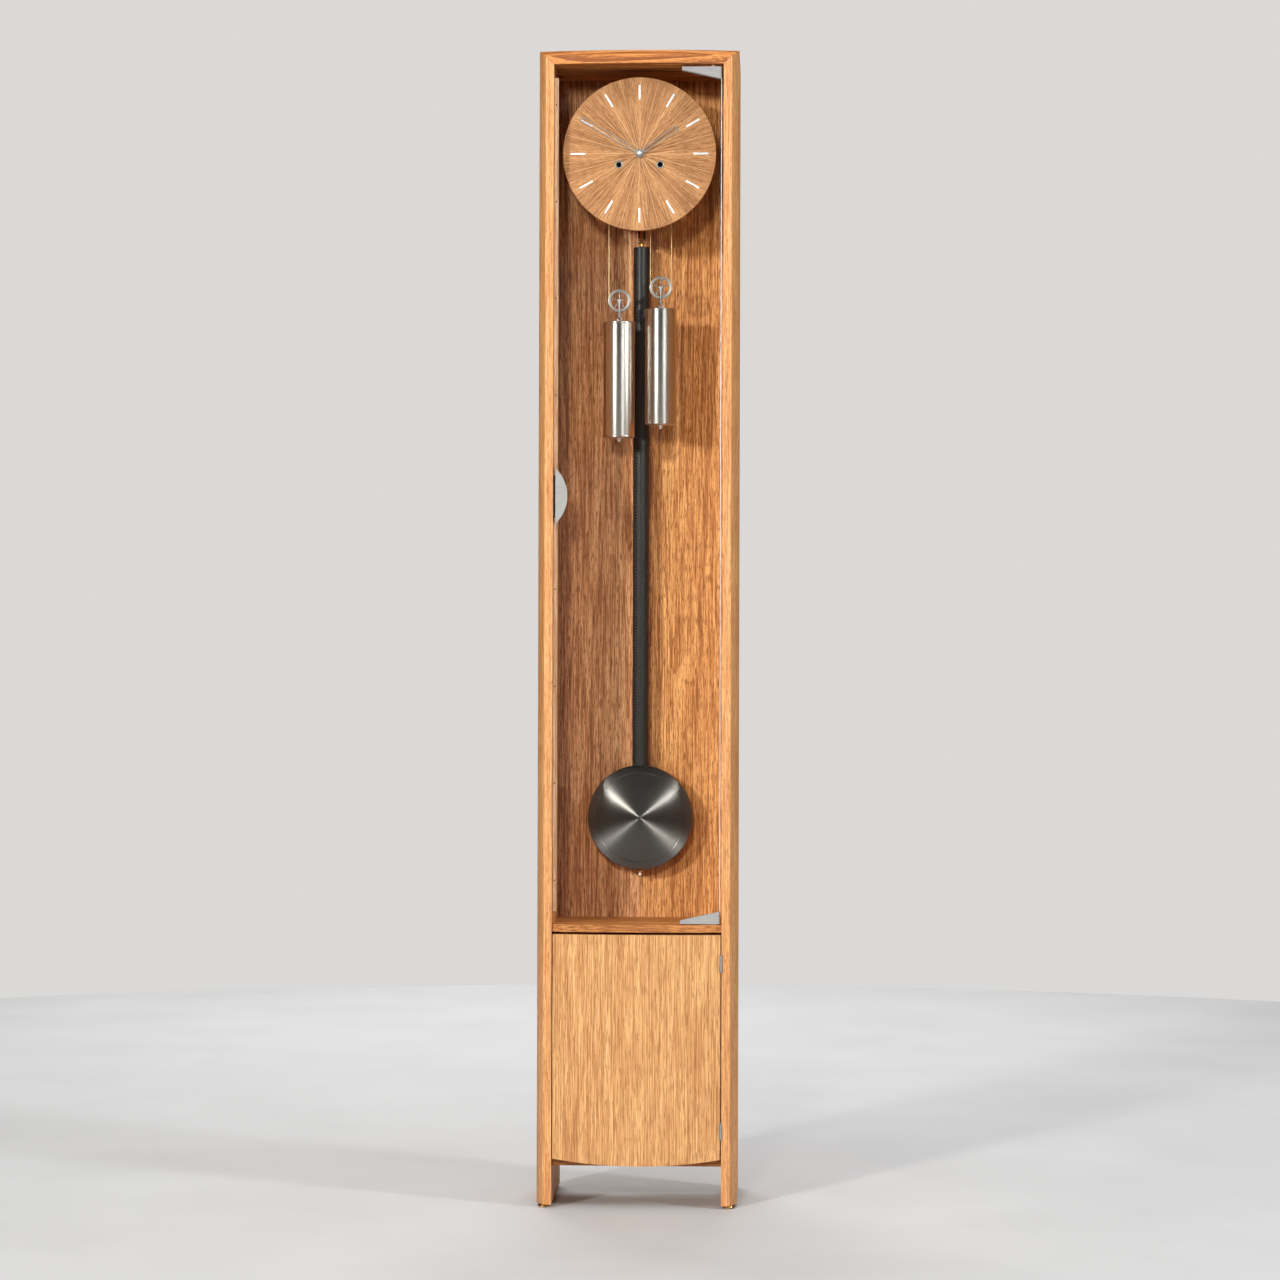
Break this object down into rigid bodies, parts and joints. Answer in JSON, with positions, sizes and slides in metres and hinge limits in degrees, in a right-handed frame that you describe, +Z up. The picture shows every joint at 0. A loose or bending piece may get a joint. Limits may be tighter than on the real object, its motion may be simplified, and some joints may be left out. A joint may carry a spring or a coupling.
{
  "type": "longcase clock",
  "caption": "Slim longcase clock with a glass door, weight-driven movement and seconds pendulum.",
  "frame": {"origin": "on the floor under the middle of the case, centre of the overall box's bottom", "axes": "+Z up, -Y out of the front, +X to the right seen from the front"},
  "size_m": [0.31, 0.224, 1.789],
  "materials": {
    "case_oak": "oiled oak, fine vertical grain",
    "door_oak": "oiled pale oak veneer",
    "veneer_oak": "book-matched oak veneer",
    "dial_oak": "sunburst oak veneer",
    "bead_oak": "pale oak bead",
    "clear_glass": "clear, polished edges",
    "satin_steel": "satin brushed",
    "bright_steel": "bright turned",
    "weight_steel": "brushed along the length",
    "bob_steel": "spun, radial sheen",
    "hand_steel": "dull grained",
    "carbon_rod": "charcoal, fine texture",
    "black_plastic": "matt black",
    "brass": "polished and lacquered",
    "cable_brass": "stranded cable"
  },
  "bodies": {
    "case": {"left_side": "case_oak", "right_side": "case_oak", "top_board": "case_oak", "back_panel": "veneer_oak", "shelf": "case_oak", "cupboard_floor": "case_oak", "seat_board": "case_oak", "seat_cheeks": "case_oak", "dial": "dial_oak", "dial_batons": "bright_steel", "winding_bushes": "bright_steel", "front_plate": "brass", "back_plate": "brass", "plate_pillars": "brass", "seat_bolts": "bright_steel", "suspension_cock": "brass", "door_bushes": "brass", "cupboard_case_hinges": "satin_steel", "handle_magnet": "black_plastic", "stop_bead": "bead_oak", "cupboard_catch": "black_plastic", "bell": "brass", "bell_stand": "brass", "cable_anchors": "brass"},
    "glass_door": {"door_glass": "clear_glass", "upper_patch_hinge": "satin_steel", "lower_patch_hinge": "satin_steel", "door_handle": "satin_steel"},
    "lower_door": {"cupboard_door": "door_oak", "cupboard_door_hinges": "satin_steel", "cupboard_strike": "satin_steel"},
    "minute_work": {"cannon_pinion": "bright_steel", "minute_hand": "hand_steel", "hand_nut": "bright_steel"},
    "hour_work": {"hour_wheel": "brass", "hour_hand": "hand_steel"},
    "minute_wheel": {"minute_wheel": "brass"},
    "pendulum": {"suspension_spring": "bright_steel", "pendulum_leader": "brass", "pendulum_rod": "carbon_rod", "pendulum_bob": "bob_steel", "rating_screw": "bright_steel"},
    "rating_nut": {"rating_nut": "brass"},
    "anchor": {"pallet_anchor": "bright_steel"},
    "escape_wheel": {"escape_wheel": "brass"},
    "hammer": {"strike_hammer": "brass"},
    "strike_line": {"strike_weight": "weight_steel", "strike_hanger": "bright_steel", "strike_cable": "cable_brass"},
    "strike_pulley": {"strike_pulley": "hand_steel"},
    "strike_drum": {"strike_drum": "brass"},
    "time_line": {"time_weight": "weight_steel", "time_hanger": "bright_steel", "time_cable": "cable_brass"},
    "time_pulley": {"time_pulley": "hand_steel"},
    "time_drum": {"time_drum": "brass"},
    "front_left_foot": {"front_left_foot": "brass"},
    "back_left_foot": {"back_left_foot": "brass"},
    "front_right_foot": {"front_right_foot": "brass"},
    "back_right_foot": {"back_right_foot": "brass"}
  },
  "joints": [
    {"name": "glass_door_hinge", "type": "hinge", "parent": "case", "child": "glass_door", "pos_m": [0.1145, -0.094, 1.1], "axis": [0, 0, 1], "range_deg": [0, 105]},
    {"name": "lower_door_hinge", "type": "hinge", "parent": "case", "child": "lower_door", "pos_m": [0.1302, -0.10344, 0.25], "axis": [0, 0, 1], "range_deg": [0, 110]},
    {"name": "minute_hand_arbor", "type": "hinge", "parent": "case", "child": "minute_work", "pos_m": [0, -0.07, 1.631], "axis": [0, 1, 0], "continuous": true},
    {"name": "hour_hand_pipe", "type": "hinge", "parent": "case", "child": "hour_work", "pos_m": [0, -0.07, 1.631], "axis": [0, 1, 0], "continuous": true},
    {"name": "minute_wheel_stud", "type": "hinge", "parent": "case", "child": "minute_wheel", "pos_m": [0, -0.05, 1.613], "axis": [0, 1, 0], "continuous": true},
    {"name": "pendulum_suspension", "type": "hinge", "parent": "case", "child": "pendulum", "pos_m": [0, 0.046, 1.656], "axis": [0, 1, 0], "range_deg": [-2, 2]},
    {"name": "anchor_arbor", "type": "hinge", "parent": "case", "child": "anchor", "pos_m": [0, 0.046, 1.656], "axis": [0, 1, 0], "range_deg": [-2, 2]},
    {"name": "escape_arbor", "type": "hinge", "parent": "case", "child": "escape_wheel", "pos_m": [0, 0, 1.637], "axis": [0, 1, 0], "continuous": true},
    {"name": "rating_nut_thread", "type": "hinge", "parent": "pendulum", "child": "rating_nut", "pos_m": [0, 0.046, 0.5117], "axis": [0, 0, 1], "continuous": true},
    {"name": "hammer_arbor", "type": "hinge", "parent": "case", "child": "hammer", "pos_m": [0.044, 0.02, 1.669], "axis": [0, 1, 0], "range_deg": [0, 12], "stiffness_Nm_per_rad": 0.05, "springref_deg": -171.89},
    {"name": "strike_weight_fall", "type": "slide", "parent": "case", "child": "strike_line", "axis": [0, 0, 1], "range_m": [-0.72, 0.1], "deforming": ["strike_cable"]},
    {"name": "strike_pulley_axle", "type": "hinge", "parent": "strike_line", "child": "strike_pulley", "pos_m": [-0.0325, -0.02, 1.4072], "axis": [0, 1, 0], "range_deg": [-2800, 400]},
    {"name": "strike_drum_arbor", "type": "hinge", "parent": "case", "child": "strike_drum", "pos_m": [-0.032, -0.02, 1.6142], "axis": [0, 1, 0], "range_deg": [-5200, 700]},
    {"name": "time_weight_fall", "type": "slide", "parent": "case", "child": "time_line", "axis": [0, 0, 1], "range_m": [-0.738, 0.082], "deforming": ["time_cable"]},
    {"name": "time_pulley_axle", "type": "hinge", "parent": "time_line", "child": "time_pulley", "pos_m": [0.0325, -0.02, 1.4275], "axis": [0, 1, 0], "range_deg": [-400, 2800]},
    {"name": "time_drum_arbor", "type": "hinge", "parent": "case", "child": "time_drum", "pos_m": [0.032, -0.02, 1.6142], "axis": [0, 1, 0], "range_deg": [-700, 5200]},
    {"name": "front_left_foot_screw", "type": "slide", "parent": "case", "child": "front_left_foot", "axis": [0, 0, -1], "range_m": [0, 0.01]},
    {"name": "front_right_foot_screw", "type": "slide", "parent": "case", "child": "front_right_foot", "axis": [0, 0, -1], "range_m": [0, 0.01]},
    {"name": "back_left_foot_screw", "type": "slide", "parent": "case", "child": "back_left_foot", "axis": [0, 0, -1], "range_m": [0, 0.01]},
    {"name": "back_right_foot_screw", "type": "slide", "parent": "case", "child": "back_right_foot", "axis": [0, 0, -1], "range_m": [0, 0.01]}
  ],
  "couplings": [
    {"joint": "hour_hand_pipe", "follows": "minute_hand_arbor", "ratio": 0.083333},
    {"joint": "minute_wheel_stud", "follows": "minute_hand_arbor", "ratio": -0.33333},
    {"joint": "anchor_arbor", "follows": "pendulum_suspension", "ratio": 1},
    {"joint": "strike_pulley_axle", "follows": "strike_weight_fall", "rad_per_m": 60.606},
    {"joint": "strike_drum_arbor", "follows": "strike_weight_fall", "rad_per_m": 117.65},
    {"joint": "time_pulley_axle", "follows": "time_weight_fall", "rad_per_m": -60.606},
    {"joint": "time_drum_arbor", "follows": "time_weight_fall", "rad_per_m": -117.65}
  ]
}
